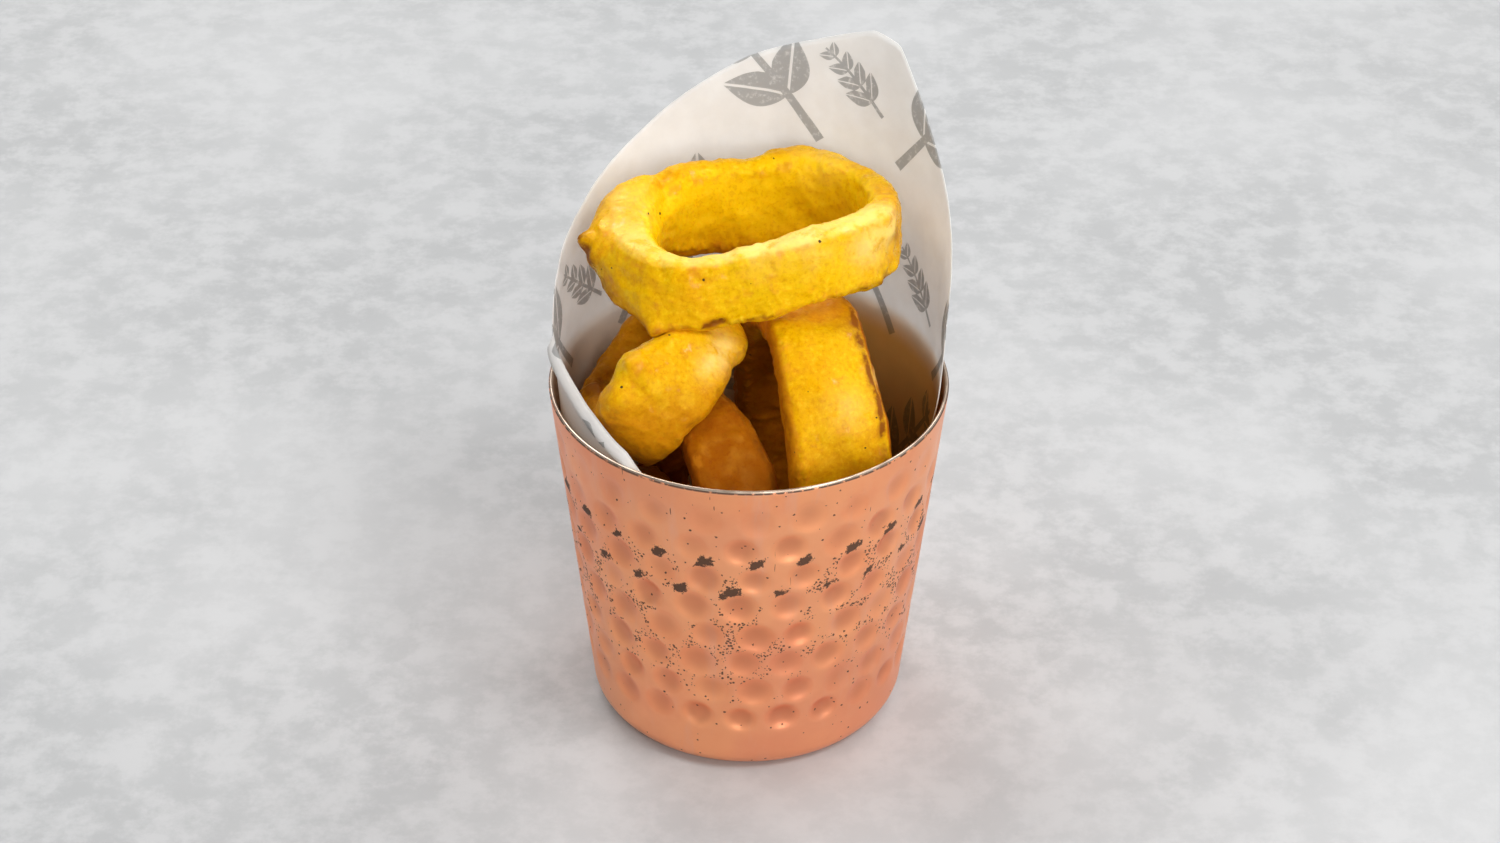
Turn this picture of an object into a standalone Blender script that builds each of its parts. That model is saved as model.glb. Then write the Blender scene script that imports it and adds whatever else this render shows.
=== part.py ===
"""Battered onion rings standing in a copper serving cup that is lined with a rolled paper sheet.

Metres, +Z up. The origin is the centre of the cup's flat foot, and -Y is the front of the cup.
"""

import math

import bmesh
import bpy
from mathutils import Matrix, Vector, noise

MM = 0.001

# Cup: a plain tapered tumbler of thin sheet metal
CUP_HEIGHT = 80.5 * MM
CUP_RIM_RADIUS = 42.5 * MM
CUP_FOOT_RADIUS = 34.5 * MM
CUP_CORNER_RADIUS = 5.6 * MM
CUP_WALL = 0.9 * MM
CUP_STEPS = 48
CORNER_STEPS = 5

# Clearance kept between pieces that rest against each other
GAP = 0.35 * MM

# Paper: one sheet rolled into a tube, its free edge given as (angle in degrees, height in mm)
PAPER_THICKNESS = 0.5 * MM
PAPER_FOOT = 7.0 * MM
PAPER_SLACK = 0.35 * MM
PAPER_FLARE = 0.06
PAPER_AROUND = 48
PAPER_ROWS = 10
PAPER_EDGE = (
    (-90, 58), (-50, 62), (-25, 72), (-12, 80), (-5, 94), (2, 105), (15, 116), (30, 129),
    (45, 143), (54, 144), (75, 138), (90, 134), (105, 128), (120, 121), (135, 115),
    (150, 108), (164, 102), (176, 96), (184, 89), (209, 85.5), (232, 82.5), (246, 74),
)
# The front left of the sheet is folded inwards along a straight chord
FOLD_FROM, FOLD_TO = 180.0, 240.0
FOLD_DEPTH = 2.8 * MM
FOLD_LOW, FOLD_HIGH = 74 * MM, 87 * MM

# Onion rings: a torus whose loop and band are reshaped
RING_AROUND = 44
RING_SECTION = 14
SECTION_SQUARENESS = 2.9
LUMP_HEIGHT = 0.85 * MM
LUMP_SIZE = 10.0 * MM

COPPER = (0.78, 0.36, 0.23, 1.0)
PAPER_WHITE = (0.86, 0.83, 0.79, 1.0)
BATTER = (0.86, 0.50, 0.04, 1.0)

# Each ring: centre of its loop (mm), the loop's normal, the direction its first radius points in,
# and lists of eight values (mm) at steps of 45 degrees round the loop: radii of the outer skin,
# offsets along the normal, heights of the band and thicknesses of its wall. The seed is for the
# lumps of its batter. Each knob, where the batter set in a drip or a blister, is its place in the
# cup, its height and its reach (mm).
RINGS = {
    "ring_top": dict(
        centre=(-0.5, 14.5, 106.6), normal=(-0.02, 0.12, 0.99), first=(1.0, 0.0, 0.03),
        radii=(32.5, 29, 22, 25.5, 32.5, 30, 23.5, 27), lift=(1, 0, -1.2, -1, 0, -3, -2.4, 1.4),
        band=(15, 20, 21.5, 20, 15, 14, 16.2, 14.8), wall=(7, 7, 7, 9, 14, 9, 7, 8), seed=3.1,
        knobs=(
            ((-20, -6, 97), 2.6, 5), ((-33.5, 9, 108), 1.8, 4.5), ((25, -1, 101), 0.8, 6),
            ((11, 36, 114), 1.6, 7), ((-26, 21, 115), 1.2, 8), ((28, 5, 117), 1.2, 6))),
    "ring_left": dict(
        centre=(-18.2, 0.2, 82.7), normal=(-0.816, 0.023, 0.581), first=(0.51, 0.62, 0.60),
        radii=(17, 20, 20, 19, 20, 24, 20.1, 17.3), lift=(-3, -1, 0, 2, 1, 1.5, 0.9, -5),
        band=(14, 15, 15, 15, 16, 16, 18, 11.5), wall=(7, 7, 7, 7, 7, 8, 8, 8), seed=7.7,
        knobs=(((-23, -17, 93), 2.4, 5), ((-29, -19, 86), 2.4, 6), ((-9, -22, 90), 1.2, 7))),
    "ring_middle": dict(
        centre=(-10.9, -3.2, 44.0), normal=(0.90, 0.42, 0.07), first=(0.0, 0.0, 1.0),
        radii=(35.9, 38.2, 31, 34, 39, 34, 24, 20), lift=(0, 0.3, -0.3, 0, 0, 0, 0, 0),
        band=(13, 17, 17, 16, 16, 16, 14, 10), wall=(8, 8, 8, 7, 7, 7, 7, 7), seed=12.3,
        knobs=(((-6, -22, 78), 0.5, 6), ((-2, -30, 68), 0.8, 5))),
    "ring_right": dict(
        centre=(12.0, 1.0, 51.0), normal=(0.96, 0.28, 0.0), first=(0.0, 0.0, 1.0),
        radii=(47.5, 40, 28, 31.5, 45, 34, 29, 35), lift=(0, -0.5, 0.2, 0, 0, 0, 0, 0),
        band=(19, 20.5, 19.5, 17, 16, 16, 16, 17), wall=(8, 8, 8, 8, 8, 8, 8, 8), seed=21.9,
        knobs=(((20, -22, 86), 1.3, 7), ((15, -16, 93), 0.9, 6), ((12, -32, 68), 0.8, 6))),
    "ring_low": dict(
        centre=(-22.3, -9.7, 34.5), normal=(0.91, 0.41, 0.0), first=(0.0, 0.0, 1.0),
        radii=(27, 24, 17, 22, 29, 22, 16, 20), lift=(0, 0, 0, 0, 0, 0, 0, 0),
        band=(12, 12, 12, 12, 12, 12, 12, 12), wall=(7, 7, 6, 6, 7, 6, 6, 7), seed=31.4,
        knobs=(((-22, -12, 62), 0.8, 6),)),
}


def clear_scene():
    for old in list(bpy.data.objects):
        bpy.data.objects.remove(old)


def new_collection(name):
    collection = bpy.data.collections.new(name)
    bpy.context.scene.collection.children.link(collection)
    return collection


def material(name, colour, roughness, metallic):
    made = bpy.data.materials.new(name)
    made.use_nodes = True
    shader = made.node_tree.nodes["Principled BSDF"]
    shader.inputs["Base Color"].default_value = colour
    shader.inputs["Roughness"].default_value = roughness
    shader.inputs["Metallic"].default_value = metallic
    made.diffuse_color = colour
    return made


def add_object(name, mesh, collection, finish):
    obj = bpy.data.objects.new(name, mesh)
    collection.objects.link(obj)
    mesh.materials.append(finish)
    return obj


def mesh_from(bm, name):
    mesh = bpy.data.meshes.new(name)
    bm.to_mesh(mesh)
    bm.free()
    return mesh


def smoothstep(low, high, value):
    share = min(1.0, max(0.0, (value - low) / (high - low)))
    return share * share * (3.0 - 2.0 * share)


def around(values, position):
    """A smooth closed curve through evenly spaced values, at a position counted in steps."""
    count = len(values)
    step = math.floor(position)
    share = position - step
    before, here, after, beyond = (values[(step + k) % count] for k in (-1, 0, 1, 2))
    return 0.5 * (
        2 * here + (after - before) * share
        + (2 * before - 5 * here + 4 * after - beyond) * share**2
        + (3 * here - before - 3 * after + beyond) * share**3
    )


def cup_radius(height):
    """Outer radius of the cup's straight side."""
    rise = (height - CUP_CORNER_RADIUS) / (CUP_HEIGHT - CUP_CORNER_RADIUS)
    return CUP_FOOT_RADIUS + (CUP_RIM_RADIUS - CUP_FOOT_RADIUS) * rise


def corner(radius, low):
    """The rounded corner between side and foot, from the side inwards."""
    centre_x = CUP_FOOT_RADIUS - CUP_CORNER_RADIUS
    for step in range(CORNER_STEPS + 1):
        angle = 0.5 * math.pi * step / CORNER_STEPS
        yield centre_x + radius * math.cos(angle), low + radius - radius * math.sin(angle)


def build_cup(collection, finish):
    inner = list(corner(CUP_CORNER_RADIUS - CUP_WALL, CUP_WALL))
    outer = list(corner(CUP_CORNER_RADIUS, 0.0))
    profile = [(0.0, CUP_WALL), *reversed(inner)]
    profile += [(CUP_RIM_RADIUS - CUP_WALL, CUP_HEIGHT), (CUP_RIM_RADIUS, CUP_HEIGHT)]
    profile += [*outer, (0.0, 0.0)]
    bm = bmesh.new()
    points = [bm.verts.new((x, 0.0, z)) for x, z in profile]
    for first, second in zip(points, points[1:]):
        bm.edges.new((first, second))
    cup = add_object("cup", mesh_from(bm, "cup"), collection, finish)
    turn = cup.modifiers.new("turn", "SCREW")
    turn.steps = turn.render_steps = CUP_STEPS
    turn.use_merge_vertices = True
    turn.merge_threshold = 0.0001
    turn.use_smooth_shade = True
    return cup


def edge_height(angle):
    """Height of the sheet's free edge at an angle in degrees, eased between the named points."""
    start = PAPER_EDGE[0][0]
    angle = start + (angle - start) % 360
    keys = [*PAPER_EDGE, (start + 360, PAPER_EDGE[0][1])]
    for (a0, h0), (a1, h1) in zip(keys, keys[1:]):
        if a0 <= angle <= a1:
            return (h0 + (h1 - h0) * (angle - a0) / (a1 - a0)) * MM
    return keys[-1][1] * MM


def sheet_radius(angle, height):
    """Radius of the middle of the sheet: it follows the cup, then flares above the rim."""
    inside = cup_radius(min(height, CUP_HEIGHT)) - CUP_WALL - GAP - 0.5 * PAPER_THICKNESS
    radius = inside - PAPER_SLACK + PAPER_FLARE * max(0.0, height - CUP_HEIGHT)
    turned = angle % 360
    if FOLD_FROM < turned < FOLD_TO:
        share = math.sin(math.pi * (turned - FOLD_FROM) / (FOLD_TO - FOLD_FROM))
        radius -= FOLD_DEPTH * share * smoothstep(FOLD_LOW, FOLD_HIGH, height)
    return radius


def build_paper(collection, finish):
    """A flat grid is rolled: its length runs round the cup and its width runs up."""
    bm = bmesh.new()
    bmesh.ops.create_grid(bm, x_segments=PAPER_AROUND, y_segments=PAPER_ROWS, size=0.5)
    for point in bm.verts:
        angle = 360.0 * (point.co.x + 0.5)
        top = edge_height(angle)
        height = PAPER_FOOT + (top - PAPER_FOOT) * (point.co.y + 0.5)
        radius = sheet_radius(angle, height)
        turn = math.radians(angle)
        point.co = Vector((radius * math.cos(turn), radius * math.sin(turn), height))
    bmesh.ops.remove_doubles(bm, verts=bm.verts, dist=0.01 * MM)
    bmesh.ops.recalc_face_normals(bm, faces=bm.faces)
    paper = add_object("paper", mesh_from(bm, "paper"), collection, finish)
    thicken = paper.modifiers.new("thickness", "SOLIDIFY")
    thicken.thickness = PAPER_THICKNESS
    thicken.offset = 0.0
    return paper


def loop_frame(shape):
    """Matrix from the ring's own frame, loop in XY, to the world."""
    normal = Vector(shape["normal"]).normalized()
    first = Vector(shape["first"])
    first = (first - first.dot(normal) * normal).normalized()
    second = normal.cross(first)
    turn = Matrix((first, second, normal)).transposed().to_4x4()
    return Matrix.Translation(Vector(shape["centre"]) * MM) @ turn


def superellipse(angle, squareness):
    c, s = math.cos(angle), math.sin(angle)
    power = 2.0 / squareness
    return math.copysign(abs(c) ** power, c), math.copysign(abs(s) ** power, s)


def build_ring(name, collection, finish):
    shape = RINGS[name]
    bpy.ops.mesh.primitive_torus_add(
        major_segments=RING_AROUND, minor_segments=RING_SECTION, major_radius=1.0, minor_radius=0.25)
    torus = bpy.context.object
    mesh = torus.data
    mesh.name = name
    frame = loop_frame(shape)
    knobs = [
        (frame.inverted() @ (Vector(place) * MM), height * MM, reach * MM)
        for place, height, reach in shape["knobs"]
    ]
    for point in mesh.vertices:
        loop = math.atan2(point.co.y, point.co.x)
        section = math.atan2(point.co.z, math.hypot(point.co.x, point.co.y) - 1.0)
        across, along = superellipse(section, SECTION_SQUARENESS)
        position = 8 * loop / math.tau
        half_wall = 0.5 * around(shape["wall"], position) * MM
        half_band = 0.5 * around(shape["band"], position) * MM
        middle = around(shape["radii"], position) * MM - half_wall
        radius = middle + half_wall * across
        offset = around(shape["lift"], position) * MM + half_band * along
        local = Vector((radius * math.cos(loop), radius * math.sin(loop), offset))
        outward = Vector((across * math.cos(loop), across * math.sin(loop), along)).normalized()
        lump = LUMP_HEIGHT * noise.noise(local / LUMP_SIZE + Vector((shape["seed"], 0.0, 0.0)))
        for place, height, reach in knobs:
            lump += height * math.exp(-((local - place).length / reach) ** 2)
        point.co = local + outward * lump
    for old in list(torus.users_collection):
        old.objects.unlink(torus)
    torus.name = name
    torus.matrix_world = frame
    collection.objects.link(torus)
    mesh.materials.append(finish)
    mesh.shade_smooth()
    return torus


def main():
    clear_scene()
    parts = new_collection("onion_rings_in_cup")
    build_cup(parts, material("copper", COPPER, 0.35, 1.0))
    build_paper(parts, material("greaseproof_paper", PAPER_WHITE, 0.7, 0.0))
    batter = material("fried_batter", BATTER, 0.5, 0.0)
    for name in RINGS:
        build_ring(name, parts, batter)


main()
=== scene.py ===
# %% [markdown]
# Onion rings in a hammered copper cup.
# The object is a small serving cup lined with a rolled sheet of greaseproof paper, in which five
# battered onion rings stand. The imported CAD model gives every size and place. This file builds the
# looks around it: one detailed piece for each CAD node, each with a material made from nodes.

# %% The fixed frame
import math

import bmesh
import bpy
from mathutils import Matrix, Vector, noise


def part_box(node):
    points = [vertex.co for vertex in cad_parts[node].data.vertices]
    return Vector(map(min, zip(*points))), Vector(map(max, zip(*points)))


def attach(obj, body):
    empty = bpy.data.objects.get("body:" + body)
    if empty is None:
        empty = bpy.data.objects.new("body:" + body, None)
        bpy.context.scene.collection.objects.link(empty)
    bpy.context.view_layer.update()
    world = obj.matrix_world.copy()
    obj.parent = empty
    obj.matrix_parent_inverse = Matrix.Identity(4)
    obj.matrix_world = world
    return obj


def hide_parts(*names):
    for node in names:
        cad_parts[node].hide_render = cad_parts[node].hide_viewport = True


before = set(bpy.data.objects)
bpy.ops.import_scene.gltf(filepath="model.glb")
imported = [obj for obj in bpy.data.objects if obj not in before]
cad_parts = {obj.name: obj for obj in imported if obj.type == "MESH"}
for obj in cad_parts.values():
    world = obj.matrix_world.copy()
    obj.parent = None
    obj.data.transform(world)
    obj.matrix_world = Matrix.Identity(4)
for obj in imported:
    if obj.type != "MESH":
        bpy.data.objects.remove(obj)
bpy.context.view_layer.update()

print("CAD nodes:", sorted(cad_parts))

# %% [markdown]
# Everything on this object is a few millimetres to a few centimetres big, while Blender counts in
# metres. So sizes below are written in millimetres and multiplied by one constant.

# %% Units and small helpers
MM = 0.001


def smoothstep(low, high, value):
    """0 below low, 1 above high, and a soft S between them."""
    share = min(1.0, max(0.0, (value - low) / (high - low)))
    return share * share * (3.0 - 2.0 * share)


def scatter(*numbers):
    """A fixed number from 0 to 1 for a set of whole numbers, for variation that never changes."""
    return 0.5 + 0.5 * noise.cell(Vector([*numbers, 0.0, 0.0][:3]) * 1.37 + Vector((0.5, 0.5, 0.5)))


def piece_from(bm, name, finishes, node):
    """A bmesh becomes a finished piece that rides with the cup and stands for its CAD node."""
    mesh = bpy.data.meshes.new(name)
    bm.to_mesh(mesh)
    bm.free()
    mesh.shade_smooth()
    piece = bpy.data.objects.new(name, mesh)
    bpy.context.scene.collection.objects.link(piece)
    for finish in finishes:
        mesh.materials.append(finish)
    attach(piece, "root")
    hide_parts(node)
    print(name, "has", len(mesh.polygons), "faces")
    return piece


# %% [markdown]
# The photograph looks down on the cup from the front at about 34 degrees with a long lens, so that
# upright lines nearly stay parallel. The camera is placed by its tilt and its distance from a point
# on the cup's axis, and then rolled a very little, because the horizon of the picture isn't level.

# %% Camera
VIEW_TILT = math.radians(34.4)
VIEW_ROLL = math.radians(0.4)
VIEW_DISTANCE = 0.690
VIEW_CENTRE = Vector((0.3 * MM, 0.0, 68.8 * MM))
SENSOR_WIDTH = 36.0
FOCAL_LENGTH = 77.28


def add_camera():
    back = Vector((0.0, -math.cos(VIEW_TILT), math.sin(VIEW_TILT)))
    right = Vector((1.0, 0.0, 0.0))
    up = back.cross(right)
    c, s = math.cos(VIEW_ROLL), math.sin(VIEW_ROLL)
    turned_right = c * right + s * up
    turned_up = c * up - s * right
    camera = bpy.data.objects.new("camera", bpy.data.cameras.new("camera"))
    bpy.context.scene.collection.objects.link(camera)
    turn = Matrix((turned_right, turned_up, back)).transposed().to_4x4()
    camera.matrix_world = Matrix.Translation(VIEW_CENTRE + back * VIEW_DISTANCE) @ turn
    camera.data.sensor_width = SENSOR_WIDTH
    camera.data.lens = FOCAL_LENGTH
    camera.data.clip_start = 0.01
    bpy.context.scene.camera = camera
    print("camera is", round(camera.matrix_world.translation.z, 3), "m above the floor")


add_camera()

# %% [markdown]
# A plain studio. A white surround, bright at the front right and darker at the back left, lights
# everything softly, as beside a window. Lamps give the shapes their shading: a key lamp at the
# front right, a wide low one in front, which shows in the copper, one at the left, and two behind
# the cup that shine through the paper and make its free part glow. The plain Standard view keeps
# the strong yellow of the batter, which the filmic views would wash out.

# %% Studio
bpy.context.scene.view_settings.view_transform = "Standard"
SURROUND_DARK = 0.12
SURROUND_BRIGHT = 0.66
SURROUND_TOWARDS = (0.86, -0.51, 0.0)
SURROUND_REACH = 0.8
LAMP_TARGET = Vector((0.0, 0.0, 0.06))
# Name, place in metres, width of the square and power in watts
LAMPS = (
    ("key_lamp", (0.46, -0.34, 0.86), 0.30, 4.0),
    ("front_lamp", (0.30, -0.90, 0.36), 0.60, 4.8),
    ("left_lamp", (-0.62, 0.10, 0.84), 0.40, 2.2),
    ("back_right_lamp", (0.50, 0.60, 0.84), 0.50, 3.6),
    ("back_left_lamp", (-0.36, 0.70, 0.90), 0.50, 6.0),
)
FLOOR_SIZE = 6.0


def add_surround():
    """White all round, brightest at the front right, as beside a window."""
    world = bpy.data.worlds.new("white_surround")
    bpy.context.scene.world = world
    world.use_nodes = True
    tree = world.node_tree
    direction = tree.nodes.new("ShaderNodeTexCoord").outputs["Generated"]
    towards = tree.nodes.new("ShaderNodeVectorMath")
    towards.operation = "DOT_PRODUCT"
    towards.inputs[1].default_value = SURROUND_TOWARDS
    tree.links.new(direction, towards.inputs[0])
    side = tree.nodes.new("ShaderNodeMapRange")
    side.inputs["From Min"].default_value = -SURROUND_REACH
    side.inputs["From Max"].default_value = SURROUND_REACH
    side.inputs["To Min"].default_value = SURROUND_DARK
    side.inputs["To Max"].default_value = SURROUND_BRIGHT
    tree.links.new(towards.outputs["Value"], side.inputs["Value"])
    tree.links.new(side.outputs["Result"], tree.nodes["Background"].inputs["Strength"])
    tree.nodes["Background"].inputs["Color"].default_value = (1.0, 1.0, 1.0, 1.0)


def add_lamp(name, place, size, power):
    lamp = bpy.data.objects.new(name, bpy.data.lights.new(name, "AREA"))
    bpy.context.scene.collection.objects.link(lamp)
    lamp.data.size = size
    lamp.data.energy = power
    lamp.location = place
    lamp.rotation_euler = (LAMP_TARGET - lamp.location).to_track_quat("-Z", "Y").to_euler()


add_surround()
for lamp in LAMPS:
    add_lamp(*lamp)
print("lamps:", [lamp[0] for lamp in LAMPS])

# %% [markdown]
# Every finish is a node tree. Helpers keep the code for a tree short: one adds a node and fills its
# inputs, some do arithmetic, one blends two colours, and one fades between two values.

# %% Node helpers


def fill(tree, made, inputs):
    """Fills a node's inputs: each is given a number or colour, or a socket to link to."""
    for name, value in inputs.items():
        if isinstance(value, bpy.types.NodeSocket):
            tree.links.new(value, made.inputs[name])
        else:
            made.inputs[name].default_value = value
    return made


def node(tree, kind, inputs=None, **settings):
    """A new node with its settings and inputs."""
    made = tree.nodes.new(kind)
    for name, value in settings.items():
        setattr(made, name, value)
    return fill(tree, made, inputs or {})


def maths(tree, operation, *values, clamp=False):
    made = node(tree, "ShaderNodeMath", dict(enumerate(values)), operation=operation)
    made.use_clamp = clamp
    return made.outputs["Value"]


def times(tree, first, second, clamp=False):
    return maths(tree, "MULTIPLY", first, second, clamp=clamp)


def plus(tree, first, second, clamp=False):
    return maths(tree, "ADD", first, second, clamp=clamp)


def minus(tree, first, second):
    return maths(tree, "SUBTRACT", first, second)


def blend(tree, share, first, second, mode="MIX"):
    """Colour first where share is 0 and second where it is 1."""
    made = node(tree, "ShaderNodeMix", data_type="RGBA", blend_type=mode)
    return fill(tree, made, {0: share, 6: first, 7: second}).outputs[2]


def layer_on(tree, colour, layers):
    """Lays tints over a colour in their order; each layer is its share and its tint."""
    for share, tint in layers:
        colour = blend(tree, share, colour, tint)
    return colour


def named_values(tree, label):
    """The numbers that the mesh's vertices carry under a name."""
    return node(tree, "ShaderNodeAttribute", attribute_name=label).outputs["Fac"]


def fade(tree, value, low, high):
    """0 where value is at low and 1 where it is at high, soft between them."""
    made = node(tree, "ShaderNodeMapRange", {"Value": value, "From Min": low, "From Max": high})
    made.interpolation_type = "SMOOTHSTEP"
    return made.outputs["Result"]


def noise_at(tree, place, scale, detail=3.0, roughness=0.55):
    made = node(
        tree, "ShaderNodeTexNoise",
        {"Vector": place, "Scale": scale, "Detail": detail, "Roughness": roughness})
    return made.outputs["Fac"]


def new_group(name, inputs, outputs):
    """An empty node group with named sockets, and its input and output nodes."""
    group = bpy.data.node_groups.new(name, "ShaderNodeTree")
    for label, kind, value in inputs:
        socket = group.interface.new_socket(label, in_out="INPUT", socket_type=kind)
        if value is not None:
            socket.default_value = value
    for label, kind in outputs:
        group.interface.new_socket(label, in_out="OUTPUT", socket_type=kind)
    return group, group.nodes.new("NodeGroupInput"), group.nodes.new("NodeGroupOutput")


def use_group(tree, group, inputs):
    """A node that holds the group, with its inputs filled."""
    return fill(tree, node(tree, "ShaderNodeGroup", node_tree=group), inputs)


def new_finish(name):
    """A material, its tree and its Principled shader."""
    finish = bpy.data.materials.new(name)
    finish.use_nodes = True
    tree = finish.node_tree
    return finish, tree, tree.nodes["Principled BSDF"]


FLOAT, VECTOR = "NodeSocketFloat", "NodeSocketVector"

# %% [markdown]
# Two effects come back in several finishes, so each is built once as a group. Specks are small
# spots at random places, such as pepper in the batter or pits in the plating. Voronoi cells give
# each spot its own centre, and a random number per cell decides how big it is, or that there is
# none. Grain is the fine roughness of a surface, as a height for a Bump node.

# %% Shared groups: specks and grain


def build_specks():
    group, given, result = new_group(
        "specks",
        [("Vector", VECTOR, None), ("Scale", FLOAT, 500.0), ("Amount", FLOAT, 0.1),
         ("Size", FLOAT, 0.25)],
        [("Mask", FLOAT)])
    wobble = node(group, "ShaderNodeTexNoise", {"Vector": given.outputs["Vector"], "Detail": 2.0})
    group.links.new(times(group, given.outputs["Scale"], 2.6), wobble.inputs["Scale"])
    cells = node(group, "ShaderNodeTexVoronoi", {
        "Vector": given.outputs["Vector"], "Scale": given.outputs["Scale"]})
    chance = node(group, "ShaderNodeSeparateColor", {"Color": cells.outputs["Color"]})
    present = maths(group, "LESS_THAN", chance.outputs["Red"], given.outputs["Amount"])
    reach = times(group, given.outputs["Size"], plus(group, chance.outputs["Green"], 0.35))
    ragged = times(group, minus(group, wobble.outputs["Fac"], 0.5), 0.35)
    distance = plus(group, cells.outputs["Distance"], ragged)
    edge = times(group, reach, 1.25)
    spot = fade(group, distance, edge, reach)
    group.links.new(times(group, spot, present), result.inputs["Mask"])
    return group


def build_grain():
    group, given, result = new_group(
        "grain", [("Vector", VECTOR, None), ("Scale", FLOAT, 1000.0)], [("Height", FLOAT)])
    coarse = node(group, "ShaderNodeTexNoise", {
        "Vector": given.outputs["Vector"], "Scale": given.outputs["Scale"], "Detail": 4.0})
    fine = node(group, "ShaderNodeTexNoise", {
        "Vector": given.outputs["Vector"], "Detail": 2.0,
        "Scale": times(group, given.outputs["Scale"], 3.7)})
    height = plus(group, coarse.outputs["Fac"], times(group, fine.outputs["Fac"], 0.45))
    group.links.new(height, result.inputs["Height"])
    return group


specks = build_specks()
grain = build_grain()
print("groups:", [group.name for group in bpy.data.node_groups])

# %% [markdown]
# The floor is only a stage: a wide flat sheet with a faint cloudiness, so that it doesn't look like
# a computer's perfect plane.

# %% Floor
FLOOR_GREY = (0.38, 0.384, 0.387, 1)
FLOOR_PALE = (0.47, 0.474, 0.477, 1)
FLOOR_SPECK = (0.54, 0.542, 0.545, 1)


def add_floor():
    finish, tree, shader = new_finish("pale_floor")
    place = node(tree, "ShaderNodeTexCoord").outputs["Object"]
    clouds = noise_at(tree, place, 9.0, 6.0)
    colour = blend(tree, fade(tree, clouds, 0.35, 0.7), FLOOR_GREY, FLOOR_PALE)
    specked = fade(tree, noise_at(tree, place, 85.0, 8.0, 0.7), 0.40, 0.62)
    colour = blend(tree, times(tree, specked, 0.5), colour, FLOOR_SPECK)
    fill(tree, shader, {"Base Color": colour, "Roughness": 0.85})
    bm = bmesh.new()
    bmesh.ops.create_grid(bm, x_segments=4, y_segments=4, size=0.5 * FLOOR_SIZE)
    mesh = bpy.data.meshes.new("floor")
    bm.to_mesh(mesh)
    bm.free()
    mesh.materials.append(finish)
    floor = bpy.data.objects.new("floor", mesh)
    bpy.context.scene.collection.objects.link(floor)


add_floor()

# %% [markdown]
# The cup is a steel tumbler with a copper skin. Its whole shape is one line turned round an axis,
# so the bmesh starts as that line and a spin makes the surface. The lip is left bare: the copper
# ends a little below it, which gives the thin dark line under the bright edge, and the copper finish
# paints shade into that line as well. The line has many points up the side, because the hammer
# marks need rows of faces to press into.

# %% Cup: the line that is turned
cup_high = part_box("cup")[1]
CUP_HEIGHT = cup_high.z
CUP_RIM_RADIUS = cup_high.x
CUP_FOOT_RADIUS = 34.5 * MM
CUP_CORNER_RADIUS = 5.6 * MM
CUP_WALL = 0.9 * MM
LIP_HEIGHT = 0.40 * MM
LIP_STEP = 0.22 * MM
CUP_SIDE_ROWS = 110
CUP_INNER_ROWS = 60
CUP_CORNER_STEPS = 8
CUP_STEPS = 300


def cup_radius(height):
    """Outer radius of the cup's straight side."""
    rise = (height - CUP_CORNER_RADIUS) / (CUP_HEIGHT - CUP_CORNER_RADIUS)
    return CUP_FOOT_RADIUS + (CUP_RIM_RADIUS - CUP_FOOT_RADIUS) * rise


def foot_corner(radius, low):
    """The rounded corner between side and foot, from the side inwards."""
    centre = CUP_FOOT_RADIUS - CUP_CORNER_RADIUS
    for step in range(CUP_CORNER_STEPS + 1):
        angle = 0.5 * math.pi * step / CUP_CORNER_STEPS
        yield centre + radius * math.cos(angle), low + radius - radius * math.sin(angle)


def lip_line():
    """The bare steel lip: a half round, then a step down to where the copper begins."""
    half = 0.5 * (CUP_WALL - LIP_STEP)
    centre = CUP_RIM_RADIUS - CUP_WALL + half
    for step in range(7):
        angle = math.pi * (1.0 - step / 6)
        yield centre + half * math.cos(angle), CUP_HEIGHT - half + half * math.sin(angle)
    yield CUP_RIM_RADIUS - LIP_STEP, CUP_HEIGHT - LIP_HEIGHT
    yield CUP_RIM_RADIUS - 0.6 * LIP_STEP, CUP_HEIGHT - LIP_HEIGHT - 0.05 * MM
    yield CUP_RIM_RADIUS - 0.1 * MM, CUP_HEIGHT - LIP_HEIGHT - 0.08 * MM


def side_line():
    """The copper side, from under the lip down to the corner of the foot."""
    top = CUP_HEIGHT - LIP_HEIGHT - 0.2 * MM
    for row in range(CUP_SIDE_ROWS):
        height = top + (CUP_CORNER_RADIUS - top) * row / CUP_SIDE_ROWS
        yield cup_radius(height), height


def cup_line():
    """Points of the turned line: inside from the axis to the lip, then down the outside."""
    points = [(0.0, CUP_WALL)]
    points += reversed(list(foot_corner(CUP_CORNER_RADIUS - CUP_WALL, CUP_WALL)))
    for row in range(1, CUP_INNER_ROWS):
        height = CUP_CORNER_RADIUS + (CUP_HEIGHT - CUP_CORNER_RADIUS) * row / CUP_INNER_ROWS
        points.append((cup_radius(height) - CUP_WALL, height))
    points += [*lip_line(), *side_line(), *foot_corner(CUP_CORNER_RADIUS, 0.0), (0.0, 0.0)]
    return points


print("the cup's line has", len(cup_line()), "points")

# %% [markdown]
# The hammer marks are shallow round dents in rows, each row shifted by half a mark. They are real
# relief: every vertex of the side is moved inwards by how deep its nearest mark is there. Each mark
# gets its own small change of place, width and depth, as a hand-held hammer leaves them.

# %% Cup: hammer marks
MARKS_AROUND = 24
MARK_ROWS = 8
MARK_TOP_ROW = 72.1 * MM
MARK_ROW_STEP = 8.05 * MM
MARK_RADIUS = 3.9 * MM
MARK_DEPTH = 1.15 * MM
MARK_BRIM = 0.22
MARK_THROUGH = 0.55 * MM
MARK_STRAY_ALONG = 1.0 * MM
MARK_STRAY_UP = 0.9 * MM
MARK_TOP_FORCE = 0.55
MARK_FIRST_ANGLE = math.radians(-87.5)
MARK_SHIFT = 0.70


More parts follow.
